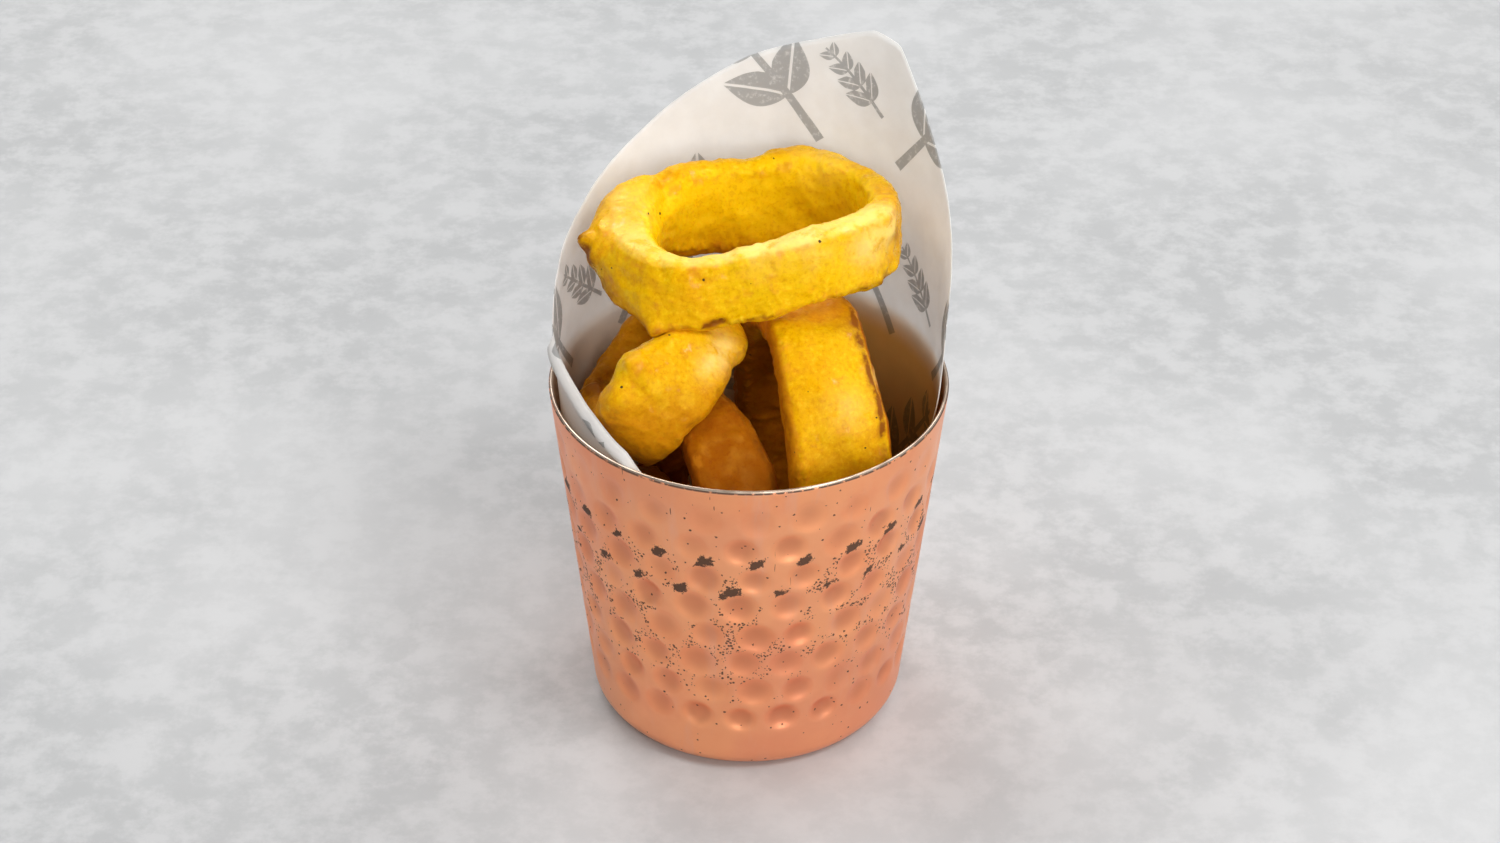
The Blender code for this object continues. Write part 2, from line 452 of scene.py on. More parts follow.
def bowl(reach):
    """Depth of a round dent of depth 1 at a share of its radius, with a slightly soft brim."""
    depth = 1.0 - reach * reach
    if depth > MARK_BRIM:
        return depth
    return max(0.0, depth + MARK_BRIM) ** 2 / (4 * MARK_BRIM)


def mark_depth(angle, height):
    """How far the hammer pressed in at an angle and a height on the side."""
    pitch = math.tau / MARKS_AROUND
    nearest_row = round((MARK_TOP_ROW - height) / MARK_ROW_STEP)
    deepest = 0.0
    for row in (nearest_row - 1, nearest_row, nearest_row + 1):
        if not 0 <= row < MARK_ROWS:
            continue
        start = MARK_FIRST_ANGLE + (MARK_SHIFT * pitch if row % 2 else 0.0)
        column = round((angle - start) / pitch)
        turn, rise, size, force = (scatter(column % MARKS_AROUND, row, k) for k in range(4))
        along = (angle - start - column * pitch) * cup_radius(height)
        along += (turn - 0.5) * MARK_STRAY_ALONG
        above = height - (MARK_TOP_ROW - row * MARK_ROW_STEP) + (rise - 0.5) * MARK_STRAY_UP
        reach = math.hypot(along, above) / (MARK_RADIUS * (0.88 + 0.24 * size))
        strength = (0.55 + 0.6 * force) * (MARK_TOP_FORCE if row == 0 else 1.0)
        deepest = max(deepest, strength * bowl(reach))
    return MARK_DEPTH * deepest


def press_marks(bm):
    """Presses the marks in. The wall bulges inwards too, but only where a mark is deep."""
    depth_layer = bm.verts.layers.float.new("pressed")
    top = CUP_HEIGHT - LIP_HEIGHT - 0.1 * MM
    for point in bm.verts:
        x, y, z = point.co
        radius = math.hypot(x, y)
        if not CUP_CORNER_RADIUS <= z <= top or radius < cup_radius(z) - 1.1 * CUP_WALL:
            continue
        pressed = mark_depth(math.atan2(y, x), z)
        point[depth_layer] = pressed / MARK_DEPTH
        if radius < cup_radius(z) - 0.5 * CUP_WALL:
            pressed = max(0.0, pressed - MARK_THROUGH)
        point.co.x *= 1.0 - pressed / radius
        point.co.y *= 1.0 - pressed / radius


def build_cup(finishes):
    bm = bmesh.new()
    line = [bm.verts.new((x, 0.0, z)) for x, z in cup_line()]
    for first, second in zip(line, line[1:]):
        bm.edges.new((first, second))
    bmesh.ops.spin(
        bm, geom=bm.verts[:] + bm.edges[:], cent=(0, 0, 0), axis=(0, 0, 1),
        angle=math.tau, steps=CUP_STEPS, use_merge=True)
    bmesh.ops.remove_doubles(bm, verts=bm.verts, dist=0.001 * MM)
    bmesh.ops.recalc_face_normals(bm, faces=bm.faces)
    for face in bm.faces:
        place = face.calc_center_median()
        outside = math.hypot(place.x, place.y) > cup_radius(place.z) - 0.5 * CUP_WALL
        low = place.z < CUP_HEIGHT - LIP_HEIGHT
        on_foot = place.z < 0.5 * CUP_WALL or (place.z < CUP_CORNER_RADIUS and face.normal.z < 0)
        face.material_index = 0 if (outside and low) or on_foot else 1
    press_marks(bm)
    return piece_from(bm, "hammered_cup", finishes, "cup")


# %% [markdown]
# Copper that has been handled for years is satin rather than bright. Its colour drifts between
# orange and a greyer pink. It is darker inside the marks, as tarnish deepened with painted shade,
# and lighter on the ridges of the top rows, as polish with a painted highlight. The plating has
# chipped off between two rows of marks, where brown base metal shows, and has worn through in
# specks along the ridges.
# Chips follow the angle round the cup and the height, so that they sit exactly between the marks.

# %% Copper finish
# Height of each row of chips, its shift in marks, and a number that starts its random sizes
CHIP_ROWS = ((60.6 * MM, 0.0, 7.0), (52.3 * MM, 0.5, 38.0))
CHIP_RAGGED = 5.0
CHIP_LEAN = 0.25
CHIP_WIDEN = 0.70
CHIP_SMALLEST = 0.75
CHIP_GROWTH = 0.8
COPPER_METALLIC = 0.78
COPPER_BRIGHT = (0.99, 0.405, 0.19, 1)
COPPER_DEEP = (0.93, 0.335, 0.155, 1)
COPPER_TARNISH = (0.78, 0.29, 0.175, 1)
COPPER_STREAK = (0.84, 0.46, 0.34, 1)
COPPER_RIDGE_POLISH_AND_HIGHLIGHT = (1.0, 0.52, 0.30, 1)
COPPER_MARK_TARNISH_AND_SHADE = (0.60, 0.20, 0.10, 1)
WORN_THROUGH = (0.105, 0.045, 0.022, 1)
# Dark band under the lip: painted shade, patchy like wear.
SHADE_AND_WEAR_AT_LIP = (0.10, 0.055, 0.035, 1)


def unrolled(tree):
    """The place on the surface, its angle round the cup, and its height in millimetres."""
    place = node(tree, "ShaderNodeTexCoord").outputs["Object"]
    split = node(tree, "ShaderNodeSeparateXYZ", {"Vector": place})
    angle = maths(tree, "ARCTAN2", split.outputs["Y"], split.outputs["X"])
    return place, angle, times(tree, split.outputs["Z"], 1.0 / MM)


def chip_mask(tree, place, angle, height, row_height, shift, seed):
    """Ragged flakes in one row, one for each mark, each with its own size."""
    pitch = math.tau / MARKS_AROUND
    start = MARK_FIRST_ANGLE + shift * pitch
    steps = maths(tree, "DIVIDE", minus(tree, angle, start), pitch)
    column = maths(tree, "ROUND", steps)
    along = times(tree, minus(tree, steps, column), pitch * cup_radius(row_height) / MM)
    chance = node(
        tree, "ShaderNodeTexWhiteNoise", {"W": plus(tree, column, seed)}, noise_dimensions="1D")
    above = minus(tree, height, row_height / MM)
    slanted = minus(tree, above, times(tree, along, CHIP_LEAN))
    rough = noise_at(tree, place, 620.0, 5.0, 0.75)
    ragged = times(tree, minus(tree, rough, 0.5), CHIP_RAGGED)
    wide = times(tree, along, CHIP_WIDEN)
    far = maths(tree, "SQRT", plus(tree, times(tree, wide, wide), times(tree, slanted, slanted)))
    size = plus(tree, times(tree, chance.outputs["Value"], CHIP_GROWTH), CHIP_SMALLEST)
    return maths(tree, "LESS_THAN", plus(tree, far, ragged), size)


def copper_colour(tree, place, height, cloud, pressed):
    """Orange, tarnish in clouds, streaks, ridges with painted highlight, marks with painted shade.
    """
    upright = node(tree, "ShaderNodeMapping", {
        "Vector": place, "Scale": (1.0, 1.0, 0.18)}).outputs["Vector"]
    streak = noise_at(tree, upright, 230.0, 4.0, 0.65)
    tarnish = fade(tree, noise_at(tree, place, 24.0, 3.0), 0.42, 0.62)
    # Ridges of the top rows are lightened: polish with a painted highlight.
    ridge_polish_and_highlight = times(tree, fade(tree, pressed, 0.16, 0.0), fade(tree, height, 78.0, 70.0))
    colour = blend(tree, fade(tree, cloud, 0.38, 0.66), COPPER_BRIGHT, COPPER_DEEP)
    # Marks are darkened: tarnish, deepened as painted shade.
    return layer_on(tree, colour, (
        (times(tree, tarnish, 0.40), COPPER_TARNISH),
        (times(tree, fade(tree, streak, 0.5, 0.8), 0.35), COPPER_STREAK),
        (times(tree, ridge_polish_and_highlight, 0.15), COPPER_RIDGE_POLISH_AND_HIGHLIGHT),
        (times(tree, fade(tree, pressed, 0.15, 0.95), 0.58), COPPER_MARK_TARNISH_AND_SHADE)))


def worn_places(tree, place, angle, height, pressed):
    """1 where the plating is gone: chips in two rows, specks on the ridges, and scratches."""
    first, second = (chip_mask(tree, place, angle, height, *row) for row in CHIP_ROWS)
    chips = maths(tree, "MAXIMUM", first, second)
    band = times(tree, fade(tree, height, 18.0, 40.0), fade(tree, height, 64.0, 55.0))
    ridges = times(tree, fade(tree, pressed, 0.22, 0.04), band)
    patchy = fade(tree, noise_at(tree, place, 170.0, 3.0), 0.46, 0.58)
    small = use_group(tree, specks, {
        "Vector": place, "Scale": 1700.0, "Size": 0.38,
        "Amount": plus(tree, times(tree, ridges, patchy), 0.014)}).outputs["Mask"]
    slanted = node(tree, "ShaderNodeMapping", {
        "Vector": place, "Rotation": (0.5, 0.35, 0.2), "Scale": (1.0, 1.0, 0.05)})
    lines = noise_at(tree, slanted.outputs["Vector"], 1500.0, 1.0)
    scratches = times(tree, fade(tree, lines, 0.765, 0.785), fade(tree, height, 50.0, 62.0))
    return maths(tree, "MAXIMUM", maths(tree, "MAXIMUM", chips, small), scratches)


def copper_finish():
    finish, tree, shader = new_finish("hammered_copper")
    place, angle, height = unrolled(tree)
    pressed = named_values(tree, "pressed")
    cloud = noise_at(tree, place, 45.0, 5.0, 0.6)
    worn = worn_places(tree, place, angle, height, pressed)
    # A patchy dark band under the lip: painted shade of its groove, broken up like wear.
    under_lip = fade(tree, height, CUP_HEIGHT / MM - 0.95, CUP_HEIGHT / MM - 0.60)
    edge_noise = noise_at(tree, place, 420.0, 4.0, 0.7)
    lip_shade_and_wear = times(tree, under_lip, fade(tree, edge_noise, 0.36, 0.5))
    bare = maths(tree, "MAXIMUM", worn, lip_shade_and_wear)
    colour = layer_on(tree, copper_colour(tree, place, height, cloud, pressed), (
        (worn, WORN_THROUGH), (lip_shade_and_wear, SHADE_AND_WEAR_AT_LIP)))
    satin = plus(tree, times(tree, cloud, 0.22), 0.26)
    fine = use_group(tree, grain, {"Vector": place, "Scale": 1500.0}).outputs["Height"]
    relief = minus(tree, times(tree, fine, 0.25), bare)
    bump = node(tree, "ShaderNodeBump", {"Height": relief, "Strength": 0.5, "Distance": 0.05 * MM})
    fill(tree, shader, {
        "Base Color": colour,
        "Metallic": minus(tree, COPPER_METALLIC, times(tree, bare, 0.5)),
        "Roughness": plus(tree, satin, times(tree, bare, 0.3), clamp=True),
        "Normal": bump.outputs["Normal"]})
    return finish


# %% [markdown]
# The lip and the inside are bare steel. Steel that is wiped and stacked is covered in fine marks
# that run round it, so its grain changes quickly up the cup and slowly round it.

# %% Steel finish and the finished cup
STEEL_CLEAN = (0.62, 0.50, 0.40, 1)
STEEL_STAINED = (0.38, 0.28, 0.21, 1)


def steel_finish():
    finish, tree, shader = new_finish("worn_steel")
    place, angle, height = unrolled(tree)
    rows = node(tree, "ShaderNodeCombineXYZ", {
        "X": times(tree, angle, 3.0), "Y": times(tree, height, 4.0)})
    lines = noise_at(tree, rows.outputs["Vector"], 3.0, 4.0)
    patches = noise_at(tree, place, 160.0, 4.0)
    bump = node(tree, "ShaderNodeBump", {"Height": lines, "Strength": 0.3, "Distance": 0.03 * MM})
    fill(tree, shader, {
        "Base Color": blend(tree, fade(tree, patches, 0.4, 0.7), STEEL_CLEAN, STEEL_STAINED),
        "Metallic": 1.0,
        "Roughness": plus(tree, times(tree, lines, 0.25), 0.22),
        "Normal": bump.outputs["Normal"]})
    return finish


build_cup([copper_finish(), steel_finish()])

# %% [markdown]
# The liner is one flat sheet, rolled into a tube that springs open against the cup. A grid is the
# natural start: its length goes round the cup and its width goes up. The sheet was put in at a
# slant, so its free edge climbs to a peak at the back right and dips below the lip at the front. At
# the front left the edge is folded over outwards, which makes a straight bright hem. The grid's
# last rows are used for that turned-over strip.

# %% Paper: shape of the sheet
GAP = 0.35 * MM
PAPER_CAD_THICKNESS = 0.5 * MM
PAPER_THICKNESS = 0.16 * MM
PAPER_FOOT = 7.0 * MM
PAPER_SLACK = 0.35 * MM
PAPER_FLARE = 0.06
PAPER_AROUND = 250
PAPER_ROWS = 96
HEM_ROWS = 6
HEM_WIDTH = 2.6 * MM
HEM_LIFT = 1.7 * MM
HEM_FROM, HEM_TO = 181.0, 238.0
FOLD_FROM, FOLD_TO = 180.0, 240.0
FOLD_DEPTH = 2.8 * MM
FOLD_LOW, FOLD_HIGH = 74 * MM, 87 * MM
# Angle in degrees round the cup and height of the free edge in millimetres
PAPER_EDGE = (
    (-90, 58), (-50, 62), (-25, 72), (-12, 80), (-5, 94), (2, 105), (15, 116), (30, 129),
    (45, 143), (54, 144), (75, 138), (90, 134), (105, 128), (120, 121), (135, 115),
    (150, 108), (164, 102), (176, 96), (184, 89), (209, 85.5), (232, 82.5), (246, 74),
)


def edge_height(angle):
    """Height of the sheet's free edge at an angle in degrees, straight between the named points."""
    start = PAPER_EDGE[0][0]
    angle = start + (angle - start) % 360
    keys = [*PAPER_EDGE, (start + 360, PAPER_EDGE[0][1])]
    for (a0, h0), (a1, h1) in zip(keys, keys[1:]):
        if a0 <= angle <= a1:
            return (h0 + (h1 - h0) * (angle - a0) / (a1 - a0)) * MM
    return keys[-1][1] * MM


def eased_edge(angle):
    """The free edge without its sharp corners."""
    return sum(edge_height(angle + step) for step in (-0.7, 0.0, 0.7)) / 3


def sheet_radius(angle, height):
    """Radius of the sheet: it follows the cup, then flares, and waves a little where it is free."""
    inside = cup_radius(min(height, CUP_HEIGHT)) - CUP_WALL - GAP - 0.5 * PAPER_CAD_THICKNESS
    free = max(0.0, height - CUP_HEIGHT)
    radius = inside - PAPER_SLACK + PAPER_FLARE * free
    turned = angle % 360
    if FOLD_FROM < turned < FOLD_TO:
        share = math.sin(math.pi * (turned - FOLD_FROM) / (FOLD_TO - FOLD_FROM))
        radius -= FOLD_DEPTH * share * smoothstep(FOLD_LOW, FOLD_HIGH, height)
    turn = math.radians(angle)
    along = Vector((2.2 * math.cos(turn), 2.2 * math.sin(turn), height / (60 * MM)))
    wave = noise.noise(along * 2.1) * 0.16 * MM + noise.noise(along * 6.0) * 0.05 * MM
    loose = smoothstep(0.0, 25 * MM, free)
    return radius + wave * (1.0 + 2.0 * loose)


def hem_share(angle):
    turned = angle % 360
    return smoothstep(HEM_FROM, HEM_FROM + 2, turned) * smoothstep(HEM_TO, HEM_TO - 2, turned)


def sheet_point(angle, rise):
    """A point of the sheet: rise is 0 at its foot, 1 at its free edge, and above 1 in the hem."""
    top = eased_edge(angle)
    height = PAPER_FOOT + (top - PAPER_FOOT) * min(1.0, rise)
    radius = sheet_radius(angle, height)
    if rise > 1.0:
        turned_over = rise - 1.0
        bend = math.sin(min(1.0, 1.3 * turned_over) * math.pi * 0.6)
        radius += HEM_LIFT * hem_share(angle) * bend
        height -= turned_over * HEM_WIDTH * hem_share(angle)
    turn = math.radians(angle)
    return Vector((radius * math.cos(turn), radius * math.sin(turn), height))


def build_paper(finish):
    bm = bmesh.new()
    rows = PAPER_ROWS + HEM_ROWS
    bmesh.ops.create_grid(bm, x_segments=PAPER_AROUND, y_segments=rows, size=0.5, calc_uvs=True)
    flat = bm.loops.layers.uv.verify()
    for face in bm.faces:
        for loop in face.loops:
            along = loop.vert.co.x + 0.5
            row = (loop.vert.co.y + 0.5) * rows
            rise = min(1.0, row / PAPER_ROWS)
            height = PAPER_FOOT + (eased_edge(360.0 * along) - PAPER_FOOT) * rise
            height += max(0.0, row - PAPER_ROWS) / HEM_ROWS * HEM_WIDTH
            loop[flat].uv = (math.tau * CUP_RIM_RADIUS * along, height)
    for point in bm.verts:
        row = (point.co.y + 0.5) * rows
        rise = row / PAPER_ROWS if row <= PAPER_ROWS else 1.0 + (row - PAPER_ROWS) / HEM_ROWS
        point.co = sheet_point(360.0 * (point.co.x + 0.5), rise)
    bmesh.ops.remove_doubles(bm, verts=bm.verts, dist=0.01 * MM)
    bmesh.ops.recalc_face_normals(bm, faces=bm.faces)
    paper = piece_from(bm, "paper_liner", [finish], "paper")
    thicken = paper.modifiers.new("thickness", "SOLIDIFY")
    thicken.thickness = PAPER_THICKNESS
    thicken.offset = 0.0


# %% [markdown]
# Greaseproof paper is thin, white and slightly see-through: where light falls on its back it glows.
# So its shader mixes a matte surface with a Translucent one. From the cup's rim down, its colour is
# darkened to a warm brown as painted shade, where the cup keeps the light off its back, most at the
# right. The print is a generic pattern of leafy sprigs in grey. One sprig is a few lines of
# arithmetic: the plane is mirrored about the stem, and cut into slanting strips of which each holds
# one leaf. Two sizes of sprig repeat over the sheet, and small dots lie between them.

# %% Printed sprigs
PRINT_TILE = (46 * MM, 40 * MM)
LEAF_LEAN = math.radians(42.0)


def build_sprig():
    """A sprig along Y from 0 to 1: mask is 1 on its stem and leaves. Lengths are shares of it."""
    group, given, result = new_group(
        "printed_sprig",
        [("X", FLOAT, 0.0), ("Y", FLOAT, 0.0), ("Pairs", FLOAT, 4.0), ("Leaf", FLOAT, 0.34),
         ("Width", FLOAT, 0.10)],
        [("Mask", FLOAT)])
    lean_c, lean_s = math.cos(LEAF_LEAN), math.sin(LEAF_LEAN)
    side = maths(group, "ABSOLUTE", given.outputs["X"])
    up = given.outputs["Y"]
    spacing = maths(group, "DIVIDE", 0.86, given.outputs["Pairs"])
    across_all = minus(group, times(group, up, lean_s), times(group, side, lean_c))
    strip = maths(group, "DIVIDE", across_all, times(group, spacing, lean_s))
    number = maths(group, "ROUND", strip)
    number = maths(group, "MAXIMUM", maths(group, "MINIMUM", number, given.outputs["Pairs"]), 1.0)
    base = times(group, number, spacing)
    over = minus(group, up, base)
    along = plus(group, times(group, side, lean_s), times(group, over, lean_c))
    across = minus(group, times(group, side, lean_c), times(group, over, lean_s))
    shrink = minus(group, 1.15, maths(
        group, "DIVIDE", times(group, number, 0.62), given.outputs["Pairs"]))
    reach = maths(group, "DIVIDE", along, times(group, given.outputs["Leaf"], shrink))
    inside = times(group, maths(group, "GREATER_THAN", reach, 0.04), maths(
        group, "LESS_THAN", reach, 1.0))
    bulge = maths(group, "SINE", times(group, maths(
        group, "POWER", maths(group, "MAXIMUM", reach, 0.0), 0.8), math.pi))
    half = times(group, times(group, bulge, shrink), given.outputs["Width"])
    leaf = maths(group, "LESS_THAN", maths(group, "ABSOLUTE", across), half)
    vein = maths(group, "GREATER_THAN", maths(group, "ABSOLUTE", across), 0.007)
    leaf = times(group, times(group, leaf, vein), inside)
    stem_half = minus(group, 0.026, times(group, up, 0.014))
    stem = times(group, maths(group, "LESS_THAN", side, stem_half), times(
        group, maths(group, "GREATER_THAN", up, 0.0), maths(group, "LESS_THAN", up, 1.0)))
    group.links.new(maths(group, "MAXIMUM", leaf, stem), result.inputs["Mask"])
    return group


def printed_sprigs(tree, flat, shift, turn, size, leaf, width, pairs):
    """The mask of one sprig repeated in tiles; every other tile is turned the other way."""
    tile_x, tile_y = PRINT_TILE
    placed = node(tree, "ShaderNodeMapping", {
        "Vector": flat, "Location": (*shift, 0.0), "Scale": (1 / tile_x, 1 / tile_y, 1.0)})
    split = node(tree, "ShaderNodeSeparateXYZ", {"Vector": placed.outputs["Vector"]})
    row = maths(tree, "FLOOR", split.outputs["Y"])
    odd = maths(tree, "FLOORED_MODULO", row, 2.0)
    shifted = plus(tree, split.outputs["X"], times(tree, odd, 0.5))
    column = maths(tree, "FLOOR", shifted)
    local_x, local_y = (
        times(tree, minus(tree, maths(tree, "FRACT", value), 0.5), length / size)
        for value, length in ((shifted, tile_x), (split.outputs["Y"], tile_y)))
    flip = minus(tree, times(tree, maths(
        tree, "FLOORED_MODULO", plus(tree, column, row), 2.0), 2.0), 1.0)
    turned_x = times(tree, local_x, flip)
    c, s = math.cos(turn), math.sin(turn)
    x = minus(tree, times(tree, turned_x, c), times(tree, local_y, s))
    y = plus(tree, plus(tree, times(tree, turned_x, s), times(tree, local_y, c)), 0.5)
    return use_group(tree, sprig, {
        "X": x, "Y": y, "Pairs": pairs, "Leaf": leaf, "Width": width}).outputs["Mask"]


sprig = build_sprig()

# %% Paper finish
# Shift in tiles, turn and length of a sprig, then its leaves' length, half width and pairs
LARGE_SPRIG = ((0.60, 0.2), math.radians(38), 42 * MM, 0.36, 0.105, 3.0)
SMALL_SPRIG = ((0.05, 0.22), math.radians(-50), 19 * MM, 0.36, 0.10, 4.0)
PAPER_BARE = (0.93, 0.92, 0.905, 1)
PAPER_FIBRE = (0.89, 0.875, 0.855, 1)
PAPER_INK = (0.56, 0.555, 0.545, 1)
PAPER_SHADE_IN_CUP = (1.0, 0.62, 0.17, 1)
SHADE_IN_CUP_FROM, SHADE_IN_CUP_TO = CUP_HEIGHT + 2.0 * MM, CUP_HEIGHT - 7.0 * MM
PAPER_SEE_THROUGH = 0.55


def paper_colour(tree, place):
    """Off-white with fibres and a worn grey print, and painted shade inside the cup, most at the
    right.
    """
    flat = node(tree, "ShaderNodeUVMap").outputs["UV"]
    large, small = (printed_sprigs(tree, flat, *kind) for kind in (LARGE_SPRIG, SMALL_SPRIG))
    dots = use_group(tree, specks, {
        "Vector": flat, "Scale": 75.0, "Size": 0.055, "Amount": 0.22}).outputs["Mask"]
    ink = maths(tree, "MAXIMUM", maths(tree, "MAXIMUM", large, small), dots)
    worn_ink = times(tree, ink, fade(tree, noise_at(tree, place, 700.0, 4.0, 0.7), 0.2, 0.5))
    fibres = noise_at(tree, place, 160.0, 5.0, 0.6)
    bare = blend(tree, fade(tree, fibres, 0.3, 0.7), PAPER_BARE, PAPER_FIBRE)
    split = node(tree, "ShaderNodeSeparateXYZ", {"Vector": place})
    # Painted shade inside the cup, from the rim down, warm brown and strongest at the right.
    shade_towards_right = plus(tree, times(
        tree, fade(tree, split.outputs["X"], -30 * MM, 15 * MM), 0.7), 0.3)
    shade_in_cup = times(tree, fade(tree, split.outputs["Z"], SHADE_IN_CUP_FROM, SHADE_IN_CUP_TO), shade_towards_right)
    printed = blend(tree, worn_ink, bare, PAPER_INK)
    return blend(tree, shade_in_cup, printed, PAPER_SHADE_IN_CUP, mode="MULTIPLY")


def paper_finish():
    finish, tree, shader = new_finish("greaseproof_paper")
    place = node(tree, "ShaderNodeTexCoord").outputs["Object"]
    colour = paper_colour(tree, place)
    fine = use_group(tree, grain, {"Vector": place, "Scale": 1100.0}).outputs["Height"]
    relief = plus(tree, times(tree, fine, 0.2), noise_at(tree, place, 90.0, 3.0))
    bump = node(tree, "ShaderNodeBump", {"Height": relief, "Strength": 0.35, "Distance": 0.25 * MM})
    fill(tree, shader, {
        "Base Color": colour, "Roughness": 0.62, "Specular IOR Level": 0.25,
        "Normal": bump.outputs["Normal"]})
    through = node(tree, "ShaderNodeBsdfTranslucent", {
        "Color": colour, "Normal": bump.outputs["Normal"]})
    both = node(tree, "ShaderNodeMixShader", {
        0: PAPER_SEE_THROUGH, 1: shader.outputs["BSDF"], 2: through.outputs["BSDF"]})
    tree.links.new(both.outputs["Shader"], tree.nodes["Material Output"].inputs["Surface"])
    return finish


build_paper(paper_finish())

# %% [markdown]
# An onion ring is a ring of onion in a thick coat of batter. Its loop isn't round: it is given by
# eight radii, and so are its height and its wall. The same numbers shape the CAD rings, so a ring
# made from them with far more faces lies right on top of its CAD node. It starts as a plain torus,
# a circle spun round an axis, and every vertex then moves to where its two angles, round the loop
# and round the section, put it on the real ring. Those two angles also tell where the edges of the
# band run, which a scan of the shape couldn't say as surely.

# %% Onion rings: shapes
RING_AROUND = 360
RING_SECTION = 100
LUMP_HEIGHT = 0.85
LUMP_SIZE = 10.0
# Lengths in millimetres: the loop's centre, normal and first direction, then eight radii of the
# outer skin, offsets along the normal, band heights and wall thicknesses, and drips or blisters
# that set on the coat, each as its place, height and reach. Square says how sharp the band's
# corners are (2 is round). Crest and brown are for the band's two sides: the height of the ragged
# crest on its edges, and how browned they are.
RINGS = {
    "ring_top": dict(
        centre=(-0.5, 14.5, 106.6), normal=(-0.02, 0.12, 0.99), first=(1.0, 0.0, 0.03),
        radii=(32.5, 29, 22, 25.5, 32.5, 30, 23.5, 27), lift=(1, 0, -1.2, -1, 0, -3, -2.4, 1.4),
        band=(15, 20, 21.5, 20, 15, 14, 16.2, 14.8), wall=(7, 7, 7, 9, 14, 9, 7, 8), seed=3.1,
        knobs=(
            (-20, -6, 97, 2.6, 5), (-33.5, 9, 108, 1.8, 4.5), (25, -1, 101, 0.8, 6),
            (11, 36, 114, 1.6, 7), (-26, 21, 115, 1.2, 8), (28, 5, 117, 1.2, 6)),
        square=(3.2, 3.0, 2.8, 2.2, 2.1, 2.7, 3.6, 3.6),
        crest=(0.30, 0.60), brown=(0.10, 0.35), painted_lip_highlight=0.6),
    "ring_left": dict(
        centre=(-18.2, 0.2, 82.7), normal=(-0.816, 0.023, 0.581), first=(0.51, 0.62, 0.60),
        radii=(17, 20, 20, 19, 20, 24, 20.1, 17.3), lift=(-3, -1, 0, 2, 1, 1.5, 0.9, -5),
        band=(14, 15, 15, 15, 16, 16, 18, 11.5), wall=(7, 7, 7, 7, 7, 8, 8, 8), seed=7.7,
        knobs=((-23, -17, 93, 2.4, 5), (-29, -19, 86, 2.4, 6), (-9, -22, 90, 1.2, 7)),
        square=(3, 3, 3, 3, 3, 3, 3, 3), crest=(0.45, 0.45), brown=(0.15, 0.30), painted_lip_highlight=0.0),
    "ring_middle": dict(
        centre=(-10.9, -3.2, 44.0), normal=(0.90, 0.42, 0.07), first=(0.0, 0.0, 1.0),
        radii=(35.9, 38.2, 31, 34, 39, 34, 24, 20), lift=(0, 0.3, -0.3, 0, 0, 0, 0, 0),
        band=(13, 17, 17, 16, 16, 16, 14, 10), wall=(8, 8, 8, 7, 7, 7, 7, 7), seed=12.3,
        knobs=((-6, -22, 78, 0.5, 6), (-2, -30, 68, 0.8, 5)),
        square=(3.4, 3.4, 3.4, 3, 3, 3, 3, 3), crest=(0.7, 0.5), brown=(0.65, 0.40), painted_lip_highlight=0.0),
    "ring_right": dict(
        centre=(12.0, 1.0, 51.0), normal=(0.96, 0.28, 0.0), first=(0.0, 0.0, 1.0),
        radii=(47.5, 40, 28, 31.5, 45, 34, 29, 35), lift=(0, -0.5, 0.2, 0, 0, 0, 0, 0),
        band=(19, 20.5, 19.5, 17, 16, 16, 16, 17), wall=(8, 8, 8, 8, 8, 8, 8, 8), seed=21.9,
        knobs=((20, -22, 86, 1.3, 7), (15, -16, 93, 0.9, 6), (12, -32, 68, 0.8, 6)),
        square=(3.6, 3.8, 3.4, 3, 3, 3, 3, 3.4), crest=(0.7, 1.0), brown=(1.0, 0.0), painted_lip_highlight=0.0),
    "ring_low": dict(
        centre=(-22.3, -9.7, 34.5), normal=(0.91, 0.41, 0.0), first=(0.0, 0.0, 1.0),
        radii=(27, 24, 17, 22, 29, 22, 16, 20), lift=(0, 0, 0, 0, 0, 0, 0, 0),
        band=(12, 12, 12, 12, 12, 12, 12, 12), wall=(7, 7, 6, 6, 7, 6, 6, 7), seed=31.4,
        knobs=((-22, -12, 62, 0.8, 6),),
        square=(3, 3, 3, 3, 3, 3, 3, 3), crest=(0.6, 0.6), brown=(0.6, 0.6), painted_lip_highlight=0.0),
}


def around(values, position):
    """A smooth closed curve through evenly spaced values, at a position counted in steps."""
    count = len(values)
    step = math.floor(position)
    share = position - step
    before, here, after, beyond = (values[(step + k) % count] for k in (-1, 0, 1, 2))
    return 0.5 * (
        2 * here + (after - before) * share
        + (2 * before - 5 * here + 4 * after - beyond) * share**2
        + (3 * here - before - 3 * after + beyond) * share**3
    )


def loop_frame(shape):
    """Matrix from the ring's own frame in millimetres, loop in XY, to the cup's in metres."""
    normal = Vector(shape["normal"]).normalized()
    first = Vector(shape["first"])
    first = (first - first.dot(normal) * normal).normalized()
    turn = Matrix((first, normal.cross(first), normal)).transposed().to_4x4()
    return Matrix.Scale(MM, 4) @ Matrix.Translation(Vector(shape["centre"])) @ turn


def rounded_box(angle, power):
    """Place on a box with round corners and half sides of 1, seen from its centre at an angle."""
    c, s = math.cos(angle), math.sin(angle)
    reach = (abs(c) ** power + abs(s) ** power) ** (-1 / power)
    return reach * c, reach * s


def plain_torus():
    bm = bmesh.new()
    upright = Matrix.Translation((1.0, 0.0, 0.0)) @ Matrix.Rotation(0.5 * math.pi, 4, "X")
    bmesh.ops.create_circle(bm, segments=RING_SECTION, radius=0.25, matrix=upright)
    bmesh.ops.spin(
        bm, geom=bm.verts[:] + bm.edges[:], cent=(0, 0, 0), axis=(0, 0, 1),
        angle=math.tau, steps=RING_AROUND, use_merge=True)
    return bm


